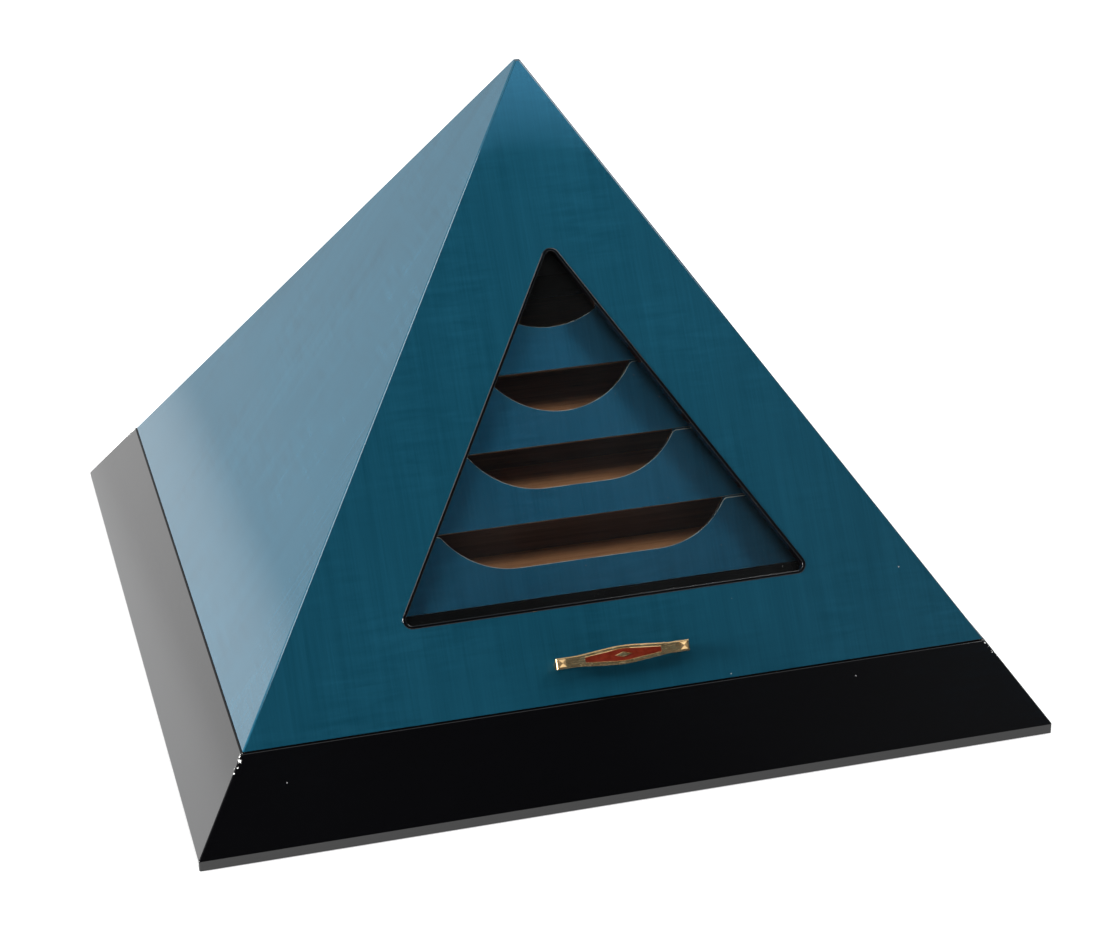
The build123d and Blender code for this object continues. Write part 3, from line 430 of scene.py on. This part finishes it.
def dress_the_rest():
    """Everything but the veneered pieces, by the record's material slots."""
    grain_x = cedar("cedar_x", (0, math.pi / 2, 0))
    grain_y = cedar("cedar_y", (math.pi / 2, 0, 0))
    divider_shade_cedar = cedar("cedar_darkened_for_shade", (0, math.pi / 2, 0), SHADE_DARKENED_CEDAR)
    looks = {
        "black_lacquer": black_lacquer("black_lacquer", 0.05),
        "plywood": plywood("plywood"),
        "felt": felt("felt"),
        "gasket_rubber": rubber("gasket_rubber"),
        "clear_glass": window_glass("clear_glass"),
        "gilt_brass": metal("gilt_brass", (0.56, 0.36, 0.16), (0.72, 0.5, 0.26), 0.2, 150),
        "brass": metal("brass", (0.55, 0.38, 0.14), (0.78, 0.6, 0.28), 0.24, 90),
        "red_enamel": enamel("red_enamel"),
        "black_plastic": moulded_plastic("black_plastic"),
        "foam": foam("foam"),
        "cedar": grain_x,
    }
    for part in frame["record"]["subparts"]:
        name = part["node"]
        if part["material_slot"] in looks:
            dress(name, looks[part["material_slot"]])
        if "side" in name and part["material_slot"] == "cedar":
            dress(name, grain_y)
        # Dividers get the darkened cedar: painted shade.
        if "divider" in name:
            dress(name, divider_shade_cedar)


dress_veneer()
dress_the_rest()


# ---------------------------------------------------------------- studio

FLOOR_RADIUS = 12.0
SWEEP_GLOW = 1.42                   # the floor round the object, lit past white
HORIZON_GLOW = 0.78                 # where the floor meets the backdrop
OVERHEAD_GLOW = 0.35
FRONT_LEFT_GLOW = 0.02              # the dark stretch in front, from its left to its right
FRONT_RIGHT_GLOW = 0.12
ROOM_WHITE = (0.97, 0.99, 1, 1)
SKY_BLUE = (0.19, 0.6, 1, 1)
SKYLIGHT_GLOW = 4.2
SKYLIGHT_ACROSS = 0.245             # its middle and its height, as parts of a unit direction
SKYLIGHT_FOOT = 0.749
SKYLIGHT_TOP = 0.767
SKYLIGHT_HALF_WIDTH = 0.12
SKYLIGHT_FADED_WIDTH = 0.18
SKYLIGHT_TILT = 0.31                # how fast its edge drops to the right
SKYLIGHT_ARCH = 6.0                 # and how fast it drops away from its middle
SKYLIGHT_FOOT_SHARE = 0.12          # its glow at the foot, as a part of the glow at the top
SKYLIGHT_TOP_BLUR = 0.01


def add_floor():
    """White floor that takes the contact shadow and fades into an evenly lit sweep."""
    bpy.ops.mesh.primitive_circle_add(vertices=128, radius=FLOOR_RADIUS, fill_type="NGON")
    floor = bpy.context.object
    floor.name = "floor"
    m = Material("floor")
    m.set(Base_Color=(0.86, 0.86, 0.86, 1), Roughness=1.0, Specular_IOR_Level=0.0)
    away = m.vector("LENGTH", m.place())
    fading = m.span(away, 0.9, 3.2, SWEEP_GLOW, HORIZON_GLOW)
    glow = m.add("ShaderNodeEmission", {"Color": (1, 1, 1, 1), "Strength": fading})
    swept = m.add("ShaderNodeMixShader", {
        0: m.span(away, 0.25, 0.6, 0.5, 1.0), 1: m.bsdf.outputs[0], 2: glow.outputs[0],
    })
    m.feed(m.output.inputs["Surface"], swept.outputs[0])
    floor.data.materials.append(m.material)


def add_bank(name, azimuth, elevation, distance, size, power, target=(0, 0, 0.12)):
    """Soft light bank; azimuth in degrees round from the front, + to the right."""
    turn = math.radians(azimuth)
    rise = math.radians(elevation)
    away = Vector((
        math.sin(turn) * math.cos(rise), -math.cos(turn) * math.cos(rise), math.sin(rise)
    ))
    data = bpy.data.lights.new(name, "AREA")
    data.shape = "RECTANGLE"
    data.size, data.size_y = size
    data.energy = power
    lamp = bpy.data.objects.new(name, data)
    lamp.location = Vector(target) + away * distance
    lamp.rotation_euler = away.to_track_quat("Z", "Y").to_euler()
    lamp.visible_camera = False
    bpy.context.scene.collection.objects.link(lamp)


def add_world():
    """White round the horizon, dimmer overhead, and a dark stretch in front that the front mirrors.

    High in that dark stretch is a narrow arched skylight, which the tip of the front mirrors.
    """
    world = bpy.data.worlds.new("studio")
    bpy.context.scene.world = world
    world.use_nodes = True
    n = Nodes(world.node_tree)
    towards = n.add("ShaderNodeTexCoord").outputs["Generated"]
    across, along, rise = n.add("ShaderNodeSeparateXYZ", {"Vector": towards}).outputs
    around = n.span(rise, 0.1, 0.6, HORIZON_GLOW, OVERHEAD_GLOW)
    front = n.math("MULTIPLY", n.span(along, -0.1, -0.5), n.span(rise, -0.05, 0.1))
    in_front = n.span(across, 0.22, 0.42, FRONT_LEFT_GLOW, FRONT_RIGHT_GLOW)
    dark = n.lerp(front, around, in_front)
    aside = n.math("SUBTRACT", across, SKYLIGHT_ACROSS)
    slope = n.math("ADD", n.math("MULTIPLY", aside, SKYLIGHT_ARCH), SKYLIGHT_TILT)
    arch = n.math("ADD", rise, n.math("MULTIPLY", aside, slope))
    width = n.math("ABSOLUTE", aside)
    opening = n.span(width, SKYLIGHT_HALF_WIDTH, SKYLIGHT_FADED_WIDTH, 1.0, 0.0)
    rising = n.span(arch, SKYLIGHT_FOOT, SKYLIGHT_TOP, SKYLIGHT_FOOT_SHARE, 1.0, smooth=False)
    foot = n.math("GREATER_THAN", arch, SKYLIGHT_FOOT)
    top = n.span(arch, SKYLIGHT_TOP, SKYLIGHT_TOP + SKYLIGHT_TOP_BLUR, 1.0, 0.0)
    sky = n.math("MULTIPLY", n.math("MULTIPLY", rising, foot), n.math("MULTIPLY", opening, top))
    background = world.node_tree.nodes["Background"].inputs
    n.feed(background["Strength"], n.math("ADD", dark, n.math("MULTIPLY", sky, SKYLIGHT_GLOW)))
    n.feed(background["Color"], n.mix(n.math("GREATER_THAN", sky, 0.0), ROOM_WHITE, SKY_BLUE))


add_floor()
add_world()
add_bank("overhead_bank", 180, 84, 2.0, (2.2, 2.6), 13)
add_bank("front_left_bank", -50, 56, 2.2, (1.5, 0.7), 26)
add_bank("front_right_bank", 60, 56, 2.2, (1.5, 0.7), 24)
add_bank("left_bank", -84, 14, 2.3, (1.0, 0.8), 180)
bpy.context.scene.view_settings.view_transform = "Standard"
